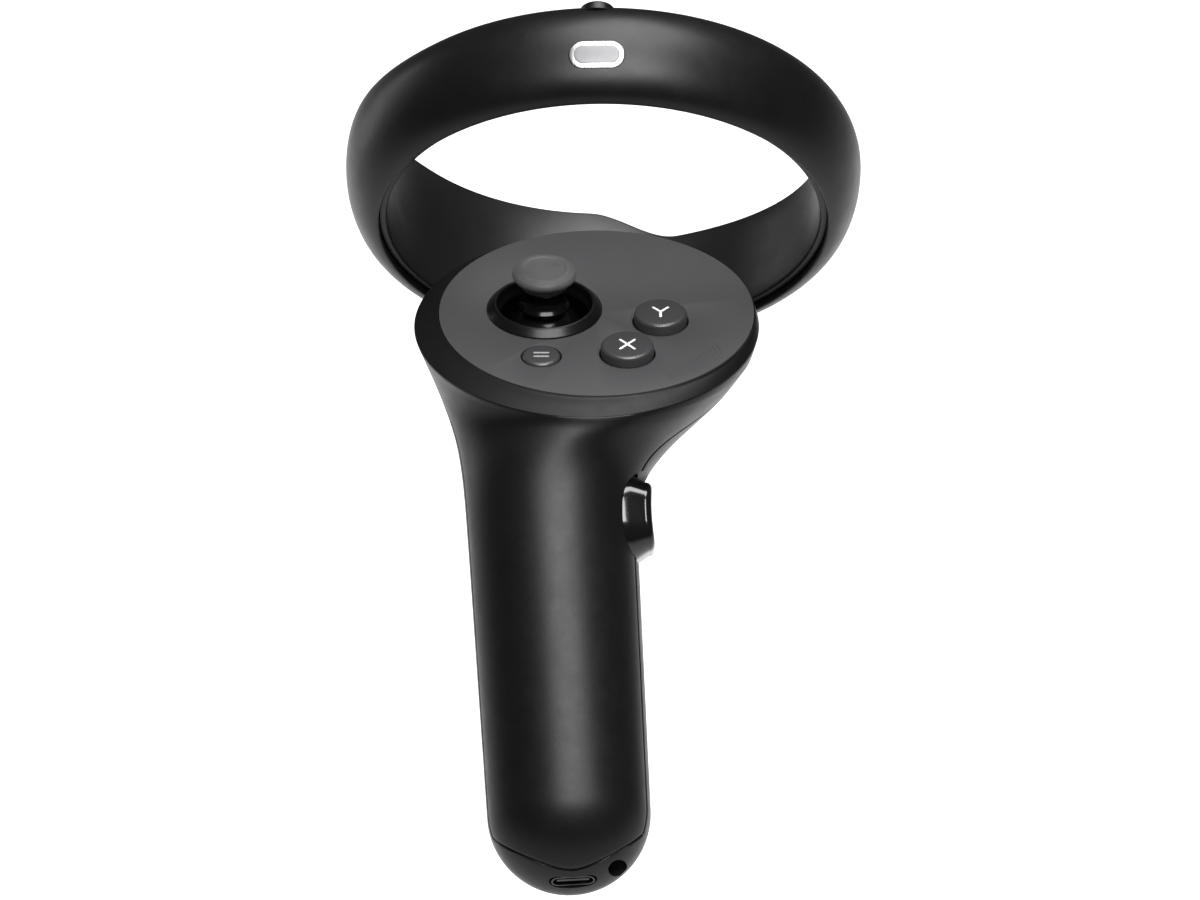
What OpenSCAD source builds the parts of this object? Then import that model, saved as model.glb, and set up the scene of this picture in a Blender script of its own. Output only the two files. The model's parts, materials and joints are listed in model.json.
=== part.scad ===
// Left-hand motion controller: round thumb plate, tracking ring, grip handle.
// Millimetres. Origin: centre of the thumb plate's top face. +Z leaves the plate,
// -Y points to the person holding it, +X is the side of the grip lever.

/* [Thumb plate] */
// Radius of the round thumb plate
plate_radius = 32.3; // [28:0.1:36]
// Thickness of the thumb plate
plate_thickness = 2; // [1.2:0.1:3]
// Gap between the plate and the rim around it
plate_gap = 0.3; // [0.1:0.05:0.6]

/* [Body shells] */
// Wall thickness of the two body shells
wall = 2; // [1.2:0.1:3]
// Facets around the body, counted once round
around = 48; // [24:12:96]
// Length of the straight handle below the neck
handle_length = 61; // [40:1:90]
// Radius of the rounded handle end
end_radius = 16.7; // [12:0.1:20]
// Tilt of the handle from the plate's normal
handle_tilt = 45; // [20:1:60]
// Sideways lean of the handle
handle_lean = -3.3; // [-8:0.1:8]

/* [Tracking ring] */
// Radius of the ring's near edge
ring_near_radius = 46.1; // [35:0.1:60]
// Largest outside radius of the ring
ring_outer_radius = 52.9; // [40:0.1:70]
// Inside radius at the near edge
ring_inner_radius = 44.4; // [34:0.1:58]
// Width of the ring at its top
ring_width = 22; // [12:0.5:30]
// Extra width of the ring on its low left side
ring_extra = 9.2; // [0:0.1:14]
// Facets round the ring
ring_facets = 72; // [36:12:120]

/* [Thumbstick] */
// Stick place on the plate, left and right
stick_x = -10.7; // [-16:0.1:16]
// Stick place on the plate, near and far
stick_y = 1.3; // [-16:0.1:16]
// Radius of the stick's cap
cap_radius = 6.7; // [5:0.1:9]
// Depth of the gimbal's centre below the plate
pivot_depth = 8; // [6:0.1:12]
// Radius of the dust dome round the stick's foot
dome_radius = 8.8; // [7:0.1:10]

/* [Buttons] */
// Radius of the two round face buttons
button_radius = 5.45; // [4:0.05:7]
// How far a face button stands above the plate
button_height = 2.3; // [1:0.1:3.5]
// Button travel
button_travel = 1; // [0.5:0.1:1.5]
// Radius of the small menu button
menu_radius = 3.9; // [3:0.1:5]

/* [Trigger and grip lever] */
// Width of the index trigger
trigger_width = 17; // [12:0.5:22]
// Half width of the grip lever
lever_half_width = 9.6; // [6:0.1:11]
// Radius of both hinge pins
pin_radius = 1; // [0.8:0.05:1.5]
// Running clearance round the hinge pins
pin_clearance = 0.05; // [0.01:0.01:0.1]

/* [Handle end] */
// Radius of the lanyard hole
lanyard_radius = 1.5; // [1:0.1:2.5]
// Length of the lanyard hole's straight wall
lanyard_length = 10; // [6:0.5:14]
// Width of the USB-C socket's shell
usb_width = 8.94; // [8.9:0.01:9.1]
// Height of the USB-C socket's shell
usb_height = 3.2; // [3.1:0.01:3.4]

/* [Hidden] */

black = [0.06, 0.06, 0.065];
dark = [0.16, 0.16, 0.165];
steel = [0.7, 0.7, 0.72];
green = [0.05, 0.22, 0.12];
white = [0.85, 0.85, 0.85];

// Body stations from the rim of the head down to the top of the straight handle:
// centre x, y, z, tilt, lean, half width, front depth, rear depth, squareness of the rear.
stations = [
  [-2.05, -1.7, -2.2, 0, 0, 35.4, 35.2, 35.2, 2],
  [-1.9, -1.65, -9.55, 10, 0, 33.2, 36.5, 40, 2.4],
  [-2.75, -6.45, -16.05, 20, 0, 29.15, 34, 44, 2.8],
  [-5.35, -17, -19, 30, -1, 23.55, 26, 40, 2.6],
  [-7.9, -25, -21.5, 38, -2.5, 19.8, 21, 28, 2.2],
  [-9.1, -31.5, -24.5, 44, handle_lean, 17.9, 18, 20, 2],
  [-9.15, -36, -28, handle_tilt, handle_lean, 17.45, 17.35, 17.45, 2]];
last = len(stations) - 1;
handle_top = [stations[last][0], stations[last][1], stations[last][2]];
handle_up = [sin(handle_lean), cos(handle_lean) * sin(handle_tilt),
  cos(handle_lean) * cos(handle_tilt)];

// Smooth curve through the stations; step 0 is the rim, step "last" the handle's top.
function curve(step) =
  let(i = min(floor(step), last - 1), f = step - i,
      a = stations[max(i - 1, 0)], b = stations[i], c = stations[i + 1],
      d = stations[min(i + 2, last)])
  0.5 * (2 * b + (c - a) * f + (2 * a - 5 * b + 4 * c - d) * f * f
    + (3 * b - a - 3 * c + d) * f * f * f);
// Handle radius at a distance below the handle's top, then the round end.
function handle_r(s) = s <= handle_length
  ? 17.4 + (end_radius - 17.4) * s / handle_length
  : sqrt(max(0, end_radius * end_radius - pow(s - handle_length, 2)));
function power(v, e) = sign(v) * pow(abs(v), e);
// A point of a body section; inset moves it in from the outside.
function section(row, angle, inset) =
  let(e = sin(angle) > 0 ? 2 / row[8] : 1,
      x = (row[5] - inset) * power(cos(angle), e),
      y = ((sin(angle) > 0 ? row[7] : row[6]) - inset) * power(sin(angle), e),
      xx = x * cos(row[4]), zz = -x * sin(row[4]))
  [row[0] + xx, row[1] + y * cos(row[3]) + zz * sin(row[3]),
   row[2] - y * sin(row[3]) + zz * cos(row[3])];
function handle_point(s, angle, inset) =
  let(r = inset == 0 ? handle_r(s)
        : (s <= handle_length ? handle_r(s) - inset
          : sqrt(max(0, pow(end_radius - inset, 2) - pow(s - handle_length, 2)))),
      c = handle_top - s * handle_up)
  section([c[0], c[1], c[2], handle_tilt, handle_lean, r, r, r, 2], angle, 0);

// The parting line: its angle on the right and on the left side at each step.
function part_right(t) = -2 - 8 * min(1, t) - 8 * ease((t - 1) / 2)
  - 9 * ease((t - 0.8) / 1.2) * (1 - ease((t - 2.8) / 2.4));
function part_left(t) = 190;
// Steps down the body: the head, the straight handle, the seam and the round end.
head_steps = 16;
top_step = 0.12;
grip_rows = [0.3, 0.6, 0.8, 0.87, 0.92, 0.96, 1];
seam_row = head_steps + len(grip_rows);
end_rows = 6;
rows = seam_row + end_rows;
front_cols = around / 2 - 2;
// Where the lower seam lies, bowed down on the side of the person's palm.
function seam(angle) = handle_length + 3.3 + 10.4 * pow(max(0, -sin(angle)), 1.1);
function col_angle(k, j) =
  let(t = last * min(1, k / head_steps), r = part_right(t), l = part_left(t) - 360)
  j <= front_cols ? l + (r - l) * j / front_cols
    : r + (l + 360 - r) * (j - front_cols) / (around - front_cols);
function body_point(k, j, inset) =
  let(a = col_angle(k, j))
  k <= head_steps
    ? section(curve(top_step + (last - top_step) * k / head_steps), a, inset)
    : k <= seam_row
      ? handle_point(seam(a) * grip_rows[k - head_steps - 1], a, inset)
      : let(f = (k - seam_row) / end_rows,
            bottom = handle_length + end_radius - inset - 0.02,
            s0 = seam(a))
        handle_point(s0 + (bottom - s0) * sin(90 * f), a, inset);
function is_front(k, j) = k < seam_row && j < front_cols;
// A closed shell made of the cells of one side of the parting line.
module shell(front) {
  n = (rows + 1) * around;
  points = [for (inset = [0, wall]) for (k = [0:rows]) for (j = [0:around - 1])
    body_point(k, j, inset)];
  function id(k, j) = k * around + (j % around + around) % around;
  function on(k, j) = k >= 0 && k < rows && is_front(k, (j % around + around) % around) == front;
  skin = [for (k = [0:rows - 1]) for (j = [0:around - 1]) if (on(k, j))
    let(a = id(k, j), b = id(k, j + 1), c = id(k + 1, j + 1), d = id(k + 1, j))
    each [[a, b, c], [a, c, d], [n + a, n + c, n + b], [n + a, n + d, n + c]]];
  edges = [for (k = [0:rows - 1]) for (j = [0:around - 1]) if (on(k, j))
    let(a = id(k, j), b = id(k, j + 1), c = id(k + 1, j + 1), d = id(k + 1, j))
    each concat(
      on(k - 1, j) ? [] : [[b, a, n + a], [b, n + a, n + b]],
      on(k + 1, j) || k == rows - 1 ? [] : [[d, c, n + c], [d, n + c, n + d]],
      on(k, j - 1) ? [] : [[a, d, n + d], [a, n + d, n + a]],
      on(k, j + 1) ? [] : [[c, b, n + b], [c, n + b, n + c]])];
  // The last row is a small ring, closed with one flat face outside and one inside.
  lids = front ? [] : [[for (j = [0:around - 1]) id(rows, j)],
    [for (j = [around - 1:-1:0]) n + id(rows, j)]];
  polyhedron(points = points, faces = concat(skin, edges, lids), convexity = 6);
}

// Things laid out along the handle: z up the handle, y to the rear, x to the right.
module on_handle() translate(handle_top) rotate([-handle_tilt, 0, 0])
  rotate([0, handle_lean, 0]) children();
module at_end() on_handle() translate([0, 0, -handle_length]) children();
// The ring's own place: z runs back from the near edge, y is up the ring.
ring_centre = [1.4, 11.5, 14.3];
ring_tilt = 27;
module on_ring() translate(ring_centre) rotate([ring_tilt - 90, 0, 0])
  rotate([0, 0, 178.5]) children();
module stick_axis() translate([stick_x, stick_y, 0]) children();

// Width of the ring at an angle round it, counted from the right side.
function ease(v) = let(u = min(1, max(0, v))) u * u * (3 - 2 * u);
function ring_w(a) = ring_width + ring_extra * ease((a - 130) / 90) * (1 - ease((a - 265) / 23))
  + 2.2 * ease((a - 265) / 23) * (1 - ease((a - 290) / 60));
crown = 13.5;
// A closed loop of the ring's wall: pairs of radius and depth.
function outer_wall(a) = let(w = ring_w(a), t = 1.6)
  concat(
    [for (f = [0:15:90]) [ring_near_radius + (ring_outer_radius - ring_near_radius) * sin(f),
      crown - crown * cos(f)]],
    [for (f = [18:18:72]) [47 + (ring_outer_radius - 47) * cos(f), crown + (w - crown) * sin(f)]],
    [[46.9, w - 0.2], [46.2, w - 0.4], [46.2, w - t],
     [48.6, crown + (w - crown) * 0.8], [51.2, crown + 2], [51, crown - 3],
     [48.9, 4.2], [46.6, 2.4], [46.1, 1.6]]);
function inner_wall(a) = let(w = ring_w(a))
  [[ring_inner_radius + 1.4, 1.4], [ring_inner_radius + 0.3, 1.4], [ring_inner_radius, 2],
   [ring_inner_radius + 0.1, 8], [ring_inner_radius + 0.5, 14], [ring_inner_radius + 1.2, w - 0.8],
   [ring_inner_radius + 1.6, w - 0.5], [ring_inner_radius + 1.7, w - 1.2],
   [ring_inner_radius + 1.7, 14], [ring_inner_radius + 1.4, 8]];
module ring_loop(kind) {
  loop = [for (i = [0:ring_facets - 1]) let(a = i * 360 / ring_facets)
    kind == 0 ? outer_wall(a) : inner_wall(a)];
  m = len(loop[0]);
  points = [for (i = [0:ring_facets - 1]) let(a = -i * 360 / ring_facets)
    each [for (p = loop[i]) [-p[0] * cos(a), p[0] * sin(-a), p[1]]]];
  faces = [for (i = [0:ring_facets - 1]) for (j = [0:m - 1])
    let(i2 = (i + 1) % ring_facets, j2 = (j + 1) % m,
        a = i * m + j, b = i * m + j2, c = i2 * m + j2, d = i2 * m + j)
    each [[a, c, b], [a, d, c]]];
  polyhedron(points = points, faces = faces, convexity = 6);
}
// Space kept clear in the head for the ring to lie in.
module ring_seat() on_ring() rotate([0, 0, -140]) rotate_extrude(angle = 100, $fn = 96)
  polygon([[44.1, -0.5], [46.6, -0.5], [50.4, 2], [52.7, 6], [53.8, 12], [53.8, 18],
    [53.4, 23], [52, 28.5], [50, 32], [47.4, 33.6], [44.1, 33.6]]);

module front_shell() color(black) difference() {
  shell(true);
  lever_slot();
  at_end() usb_axis() usb_slug(0.45, 20, -20);
}
module rear_shell() color(black) difference() {
  union() {
    shell(false);
    at_end() intersection() {
      lanyard_axis() cylinder(r = 3.4, h = 17.4, center = true, $fn = 48);
      sphere(r = end_radius - wall + 0.6, $fn = 96);
    }
  }
  ring_seat();
  lever_slot();
  translate([-1 - trigger_width / 2 - 0.6, 14, -46]) cube([trigger_width + 1.2, 20, 16]);
  at_end() {
    lanyard_axis() cylinder(r = lanyard_radius, h = 24, center = true, $fn = 64);
    for (side = [-1, 1]) lanyard_axis() translate([0, 0, side * (lanyard_length / 2 + 6)])
      cylinder(r = 1.95, h = 12, center = true, $fn = 64);
    usb_axis() usb_slug(0.45, 20, -20);
  }
}
module lever_slot() on_handle() {
  translate([5, -lever_half_width - 0.3, -11.6]) cube([25, 2 * lever_half_width + 0.6, 20.8]);
  translate([11, 12.6, grip_z]) rotate([90, 0, 0])
    cylinder(r = pin_radius + 0.02, h = 25.2, $fn = 32);
}
// The socket points out of the round end, turned a little to the palm side.
module usb_axis() rotate([-20, 0, 0]) children();
// The lanyard hole crosses the round end's right corner, slanting up to the rear.
module lanyard_axis() translate([9.2, 3.37, -10.26]) rotate([-71.9, 0, 0]) children();
module usb_slug(grow, length, bottom) translate([0, 0, bottom]) linear_extrude(height = length)
  for (side = [0, 1]) mirror([side, 0, 0]) {
    translate([(usb_width - usb_height) / 2, 0]) circle(r = usb_height / 2 + grow, $fn = 48);
    translate([-0.01, -usb_height / 2 - grow])
      square([(usb_width - usb_height) / 2 + 0.01, usb_height + 2 * grow]);
  }

// The chamfered rim between the plate and the body.
bezel_base = curve(top_step);
function bezel_point(i, a) =
  i == 0 ? [(plate_radius + plate_gap) * cos(a), (plate_radius + plate_gap) * sin(a), -0.25]
  : i == 1 ? section(stations[0], a, 0)
  : i == 2 ? section(bezel_base, a, 0)
  : i == 3 ? section(bezel_base, a, wall)
  : i == 4 ? [30.4 * cos(a), 30.4 * sin(a), -plate_thickness - 0.1]
  : [(plate_radius + plate_gap) * cos(a), (plate_radius + plate_gap) * sin(a),
     -plate_thickness - 0.1];
module head_bezel() color(black) {
  points = [for (j = [0:around - 1]) for (i = [0:5]) bezel_point(i, j * 360 / around)];
  faces = [for (j = [0:around - 1]) for (i = [0:5])
    let(j2 = (j + 1) % around, i2 = (i + 1) % 6,
        a = j * 6 + i, b = j * 6 + i2, c = j2 * 6 + i2, d = j2 * 6 + i)
    each [[a, c, b], [a, d, c]]];
  polyhedron(points = points, faces = faces, convexity = 4);
}

x_place = [6.3, -16.1, 0];
y_place = [13.1, -3.5, 0];
menu_place = [-11.3, -17.1, 0];
module face_plate() color(dark) difference() {
  rotate_extrude($fn = 128) polygon([[0, -plate_thickness], [plate_radius, -plate_thickness],
    [plate_radius, -0.35], [plate_radius - 0.35, 0], [0, 0]]);
  stick_axis() translate([0, 0, -5]) cylinder(r = 11.1, h = 10, $fn = 96);
  for (place = [x_place, y_place]) translate(place + [0, 0, -5])
    cylinder(r = button_radius + 0.35, h = 10, $fn = 64);
  translate(menu_place + [0, 0, -5]) cylinder(r = menu_radius + 0.35, h = 10, $fn = 64);
  // short slanted grooves near the low right edge
  for (i = [0:11]) let(a = -58.5 + 2.75 * i) translate([28.3 * cos(a), 28.3 * sin(a), -0.2])
    rotate([0, 0, 58]) translate([-2.2, -0.2, 0]) cube([4.4, 0.4, 2]);
}

module ring_outer_shell() color(black) on_ring() difference() {
  ring_loop(0);
  badge_slug(0.1);
  boss_slug(0.05);
}
module ring_inner_shell() color(black) on_ring() difference() {
  ring_loop(1);
  boss_slug(0.05);
}
// Plain oval badge laid into the top of the ring.
module badge_slug(grow) translate([0, 0, 8.2]) rotate([-90, 0, 0])
  translate([0, 0, 46]) linear_extrude(height = 10)
  for (side = [-1, 1]) { translate([side * 3, 0]) circle(r = 3 + grow, $fn = 48);
    translate([-3, -3 - grow]) square([6, 6 + 2 * grow]); }
module ring_badge() color(steel) on_ring() intersection() {
  badge_slug(0);
  rotate_extrude($fn = 128) polygon([[50.2, 3.5], [51.1, 5], [52.1, 8], [52.6, 12], [51.6, 12],
    [51.1, 8], [50.1, 5], [49.4, 3.5]]);
}
// Small round lug on the back edge, at the very top.
module boss_slug(grow) translate([0, 48.2, ring_width - 1.6 - grow])
  cylinder(r = 3.6 + grow, h = 1.2 + 2 * grow, $fn = 48);
module ring_boss() color(black) on_ring() boss_slug(0);
module led_flex() color(green) on_ring() rotate([0, 0, -20]) rotate_extrude(angle = 220, $fn = 128)
  translate([46.9, 5]) square([0.3, 12]);
module tracking_leds() color(white) on_ring() for (a = [-10:22:188]) rotate([0, 0, a])
  translate([47.3, -1.2, 8.5]) cube([1, 2.4, 2.4]);

module stick_cap() color(black) stick_axis() rotate_extrude($fn = 96)
  polygon([[0, 6.4], [2.2, 6.4], [2.2, 5.6], [4.6, 5.65], [5.3, 6.7], [6.5, 7.9],
    [cap_radius, 8.5], [6.4, 9.3], [5.3, 9.9], [4.6, 9.95], [4.2, 9.8], [2, 9.95], [0, 10]]);
module stick_stem() color(black) stick_axis() {
  difference() {
    union() {
      rotate_extrude($fn = 96) polygon([[0, -pivot_depth - 1.4], [1.9, -pivot_depth - 1.4],
        [1.9, 0.4], [5.25, 0.6], [5.25, 1.4], [4.5, 2.1], [4.05, 3.3], [4.15, 4.7], [4.6, 5.55],
        [2.1, 5.55], [2.1, 6.3], [0, 6.3]]);
      // dust dome
      translate([0, 0, -pivot_depth]) rotate_extrude($fn = 96)
        polygon(concat([for (f = [8:5:58]) [dome_radius * sin(f), dome_radius * cos(f)]],
          [for (f = [58:-5:8]) [(dome_radius - 0.9) * sin(f), (dome_radius - 0.9) * cos(f)]]));
    }
    translate([0, 0, -pivot_depth]) rotate([90, 0, 0])
      cylinder(r = 0.85, h = 8, center = true, $fn = 32);
  }
}
module stick_yoke() color(steel) stick_axis() translate([0, 0, -pivot_depth]) {
  difference() {
    cylinder(r = 5.8, h = 3, center = true, $fn = 64);
    cylinder(r = 4, h = 5, center = true, $fn = 64);
  }
  rotate([90, 0, 0]) cylinder(r = 0.8, h = 9, center = true, $fn = 32);
  for (side = [-1, 1]) translate([side * 5.5, 0, 0]) rotate([0, side * 90, 0])
    cylinder(r = 1, h = 4.7, $fn = 32);
}
module stick_cup() color(black) stick_axis() difference() {
  translate([0, 0, -11.2]) cylinder(r = 10.5, h = 8.6, $fn = 96);
  translate([0, 0, -pivot_depth]) sphere(r = 9.3, $fn = 96);
  translate([0, 0, -pivot_depth]) cylinder(r = 9.25, h = 10, $fn = 96);
  translate([0, 0, -pivot_depth]) rotate([0, 90, 0])
    cylinder(r = 1.05, h = 30, center = true, $fn = 32);
}
module stick_collar() color(dark) stick_axis() rotate_extrude($fn = 128)
  polygon([[10.9, -1.6], [10.9, 0.05], [11.9, 0.05], [11.85, 0.3], [10.6, 1.55], [10.3, 1.75],
    [9.9, 1.75], [9.7, 1.4], [9.6, 0.2], [9.1, -1], [9.1, -1.6]]);

module round_button(r, top, deep) rotate_extrude($fn = 96)
  polygon([[0, -deep], [r * 0.55, -deep], [r * 0.55, -3.7], [r + 0.9, -3.7], [r + 0.9, -2.9],
    [r, -2.9], [r, top - 0.75], [r - 0.25, top - 0.3], [r - 0.8, top], [0, top + 0.08]]);
module bar(length, width) translate([-length / 2, -width / 2, -0.3]) cube([length, width, 0.42]);
module x_shape() for (a = [52, -52]) rotate([0, 0, a]) bar(4.4, 0.62);
module y_shape() {
  for (side = [-1, 1]) translate([side * 0.78, 0.95, 0]) rotate([0, 0, side * 52]) bar(2.5, 0.62);
  translate([0, -0.85, 0]) rotate([0, 0, 90]) bar(2.1, 0.62);
}
module menu_shape() for (y = [-0.75, 0.75]) translate([0, y, 0]) bar(3.2, 0.6);
module x_button() color(black) translate(x_place) difference() {
  round_button(button_radius, button_height, 6.2);
  translate([0, 0, button_height]) x_shape();
}
module y_button() color(black) translate(y_place) difference() {
  round_button(button_radius, button_height, 6.2);
  translate([0, 0, button_height]) y_shape();
}
module menu_button() color(black) translate(menu_place) difference() {
  round_button(menu_radius, 0.45, 6.2);
  translate([0, 0, 0.45]) menu_shape();
}
module x_legend() color(white) translate(x_place + [0, 0, button_height]) x_shape();
module y_legend() color(white) translate(y_place + [0, 0, button_height]) y_shape();
module menu_legend() color(white) translate(menu_place + [0, 0, 0.45]) menu_shape();
module keypad_membrane() color(white) {
  for (place = [x_place, y_place, menu_place]) translate(place + [0, 0, -8.7])
    rotate_extrude($fn = 48) polygon([[0, 0], [4, 0], [4, 0.4], [2.6, 0.5], [2, 1.3], [0, 1.3]]);
}
board_top = -12.2;
module main_board() color(green) difference() {
  translate([-1, 0, board_top - 1.2]) cylinder(r = 24, h = 1.2, $fn = 96);
  translate([-40, -40, board_top - 2]) cube([80, 22, 4]);
  for (p = screw_places) translate([p[0], p[1], board_top - 2]) cylinder(r = 1, h = 4, $fn = 32);
}
screw_places = [[16, 6], [-20, 10], [0, 18]];
module inner_frame() color(dark) {
  difference() {
    union() {
      translate([-1, 0, -16.4]) cylinder(r = 23, h = 1.4, $fn = 96);
      for (p = screw_places) translate([p[0], p[1], -15.2]) cylinder(r = 2.2, h = 1.8, $fn = 48);
      // two ears that carry the trigger's pin
      for (side = [-1, 1]) translate([-2 + side * (trigger_width / 2 + 2.2), 0, 0])
        rotate([90, 0, 90]) linear_extrude(height = 2)
          polygon([[19, -15.6], [19, -32.6], [22.5, -32.6], [26.5, -31], [29, -29.4], [29, -15.6]]);
    }
    translate([-40, -40, -20]) cube([80, 26, 8]);
    for (p = screw_places) translate([p[0], p[1], -20]) cylinder(r = 0.8, h = 8, $fn = 32);
    translate([-30, trigger_y, trigger_z]) rotate([0, 90, 0])
      cylinder(r = pin_radius + 0.02, h = 60, $fn = 32);
  }
}
module board_screws() color(steel) for (p = screw_places) translate([p[0], p[1], 0]) {
  translate([0, 0, board_top + 0.02]) cylinder(r = 1.5, h = 0.8, $fn = 32);
  translate([0, 0, -16]) cylinder(r = 0.75, h = 4.2, $fn = 32);
}
module battery_cell() color([0.1, 0.25, 0.45]) on_handle() translate([0, 0, -58])
  cylinder(r = 7, h = 47, $fn = 96);
module battery_cradle() color(dark) on_handle() translate([0, 0, -58.8]) difference() {
  cylinder(r = 9, h = 48.5, $fn = 96);
  translate([0, 0, 0.8]) cylinder(r = 7.1, h = 50, $fn = 96);
  translate([-12, -12, 0.8]) cube([24, 11, 50]);
}
module haptic_motor() color(steel) on_handle() translate([-4, 2, 13.6])
  cylinder(r = 5, h = 3.2, $fn = 64);
module usb_board() color(green) at_end() usb_axis()
  translate([-4.9, 1.75, -12.6]) cube([9.8, 1, 10]);
module usb_socket() color(steel) at_end() usb_axis() {
  difference() {
    usb_slug(0, 7.4, -16.2);
    usb_slug(-0.35, 7, -16.4);
  }
  translate([-3.3, -0.35, -15.9]) cube([6.6, 0.7, 6.8]);
}

trigger_y = 25.6;
trigger_z = -29.4;
module trigger() color(black) translate([-1, 0, 0]) difference() {
  translate([-trigger_width / 2, 0, 0]) rotate([90, 0, 90]) linear_extrude(height = trigger_width)
    polygon([[23, -28.2], [24.4, -27], [26.8, -27], [28.4, -28.6], [29.8, -32.4], [33.4, -34.4],
      [34.8, -37], [34.4, -40.5], [33.2, -44.5], [32.7, -48.5], [33.2, -52.5], [34.6, -56],
      [35.4, -58.6], [34.6, -60.4], [32.4, -61], [28.2, -58.6], [24.6, -54], [22.4, -48.5],
      [21.2, -43], [20.2, -38], [19.8, -34], [21.2, -30.6]]);
  translate([-30, trigger_y, trigger_z]) rotate([0, 90, 0])
    cylinder(r = pin_radius + pin_clearance, h = 60, $fn = 32);
  // room for the coil spring round the pin
  translate([-3, trigger_y, trigger_z]) rotate([0, 90, 0]) cylinder(r = 2.9, h = 6, $fn = 48);
  translate([-3, trigger_y - 2.9, trigger_z]) cube([6, 5.8, 6]);
  translate([0, 21.8, -36]) rotate([0, 0, 0]) cube([3.2, 3.2, 3.2], center = true);
}
module trigger_pin() color(steel) translate([-1 - trigger_width / 2 - 3.4, trigger_y, trigger_z])
  rotate([0, 90, 0]) cylinder(r = pin_radius, h = trigger_width + 6.8, $fn = 32);
module coil(count, pitch, radius, wire) for (i = [0:count - 1])
  translate([0, 0, (i - (count - 1) / 2) * pitch])
    rotate_extrude($fn = 48) translate([radius, 0]) circle(r = wire, $fn = 16);
module trigger_spring() color(steel) translate([-1, trigger_y, trigger_z]) rotate([0, 90, 0])
  coil(6, 0.8, 1.9, 0.38);
module trigger_magnet() color(steel) translate([-1, 21.8, -36])
  cube([3, 3, 3], center = true);
module trigger_sensor() color(black) translate([-2.5, 14.6, -20.2]) cube([3, 1.4, 3.6]);

grip_z = 5.8;
module grip_lever() color(black) on_handle() difference() {
  translate([0, lever_half_width, 0]) rotate([90, 0, 0])
    linear_extrude(height = 2 * lever_half_width)
    polygon([[8.6, 4.4], [8.6, 6.9], [10, 8.3], [16.6, 8.5], [20.6, 8.4], [21.4, 7.4],
      [21.1, 5.6], [20.6, 2.7], [20.45, -0.6], [20.55, -3.7], [20.9, -6.8], [21.35, -8.8],
      [20.8, -9.8], [19.4, -9.9], [12.6, -9.9], [12.2, -8.4], [12.2, 0.7], [10.6, 2.9]]);
  translate([11, 20, grip_z]) rotate([90, 0, 0])
    cylinder(r = pin_radius + pin_clearance, h = 40, $fn = 32);
  translate([11, 3, grip_z]) rotate([90, 0, 0]) cylinder(r = 2.9, h = 6, $fn = 48);
  translate([5, -3, grip_z - 2.9]) cube([6, 6, 5.8]);
}
module grip_pin() color(steel) on_handle() translate([11, 11.4, grip_z]) rotate([90, 0, 0])
  cylinder(r = pin_radius, h = 22.8, $fn = 32);
module grip_spring() color(steel) on_handle() translate([11, 0, grip_z]) rotate([90, 0, 0])
  coil(6, 0.8, 1.9, 0.38);

front_shell();
rear_shell();
head_bezel();
face_plate();
ring_outer_shell();
ring_inner_shell();
ring_badge();
ring_boss();
led_flex();
tracking_leds();
stick_cap();
stick_stem();
stick_yoke();
stick_cup();
stick_collar();
x_button();
y_button();
menu_button();
x_legend();
y_legend();
menu_legend();
keypad_membrane();
main_board();
inner_frame();
board_screws();
battery_cell();
battery_cradle();
haptic_motor();
usb_board();
usb_socket();
trigger();
trigger_pin();
trigger_spring();
trigger_magnet();
trigger_sensor();
grip_lever();
grip_pin();
grip_spring();
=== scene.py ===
import json
import math

import bmesh
import bpy
import numpy as np
from mathutils import Matrix, Vector


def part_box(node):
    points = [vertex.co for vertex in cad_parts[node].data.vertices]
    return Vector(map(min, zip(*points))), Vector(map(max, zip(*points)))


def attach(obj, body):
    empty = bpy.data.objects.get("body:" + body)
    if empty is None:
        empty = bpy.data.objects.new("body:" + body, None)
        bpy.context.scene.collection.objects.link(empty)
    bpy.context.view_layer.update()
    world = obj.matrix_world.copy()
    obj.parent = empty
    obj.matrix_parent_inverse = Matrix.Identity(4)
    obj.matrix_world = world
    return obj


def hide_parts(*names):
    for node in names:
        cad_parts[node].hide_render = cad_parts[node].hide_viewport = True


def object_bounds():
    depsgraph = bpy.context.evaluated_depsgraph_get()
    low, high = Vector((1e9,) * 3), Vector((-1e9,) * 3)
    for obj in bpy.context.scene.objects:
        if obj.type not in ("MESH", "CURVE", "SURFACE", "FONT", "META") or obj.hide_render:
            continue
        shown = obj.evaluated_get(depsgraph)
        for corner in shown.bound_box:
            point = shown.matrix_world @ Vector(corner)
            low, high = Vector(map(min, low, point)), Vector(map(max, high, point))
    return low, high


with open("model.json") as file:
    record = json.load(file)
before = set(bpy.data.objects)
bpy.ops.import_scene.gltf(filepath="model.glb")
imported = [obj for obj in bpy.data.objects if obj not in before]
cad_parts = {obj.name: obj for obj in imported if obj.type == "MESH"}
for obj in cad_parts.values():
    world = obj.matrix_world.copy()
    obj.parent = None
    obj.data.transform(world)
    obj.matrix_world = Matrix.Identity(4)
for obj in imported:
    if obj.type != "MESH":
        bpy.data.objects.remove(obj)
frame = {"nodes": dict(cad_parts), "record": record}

CAD_BOX = [list(v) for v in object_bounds()]
MM = 0.001
RECORD = frame["record"]
SLOT_OF = {s["node"]: s["material_slot"] for s in RECORD["subparts"]}

# ---------------------------------------------------------------------------
# The controller's own sizes, in millimetres, as in the part's source.
# ---------------------------------------------------------------------------
PLATE_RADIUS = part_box("face_plate")[1].x / MM
WALL = 2.0
HANDLE_LENGTH = 61.0
END_RADIUS = 16.7
HANDLE_TILT, HANDLE_LEAN = math.radians(45), math.radians(-3.3)
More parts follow.
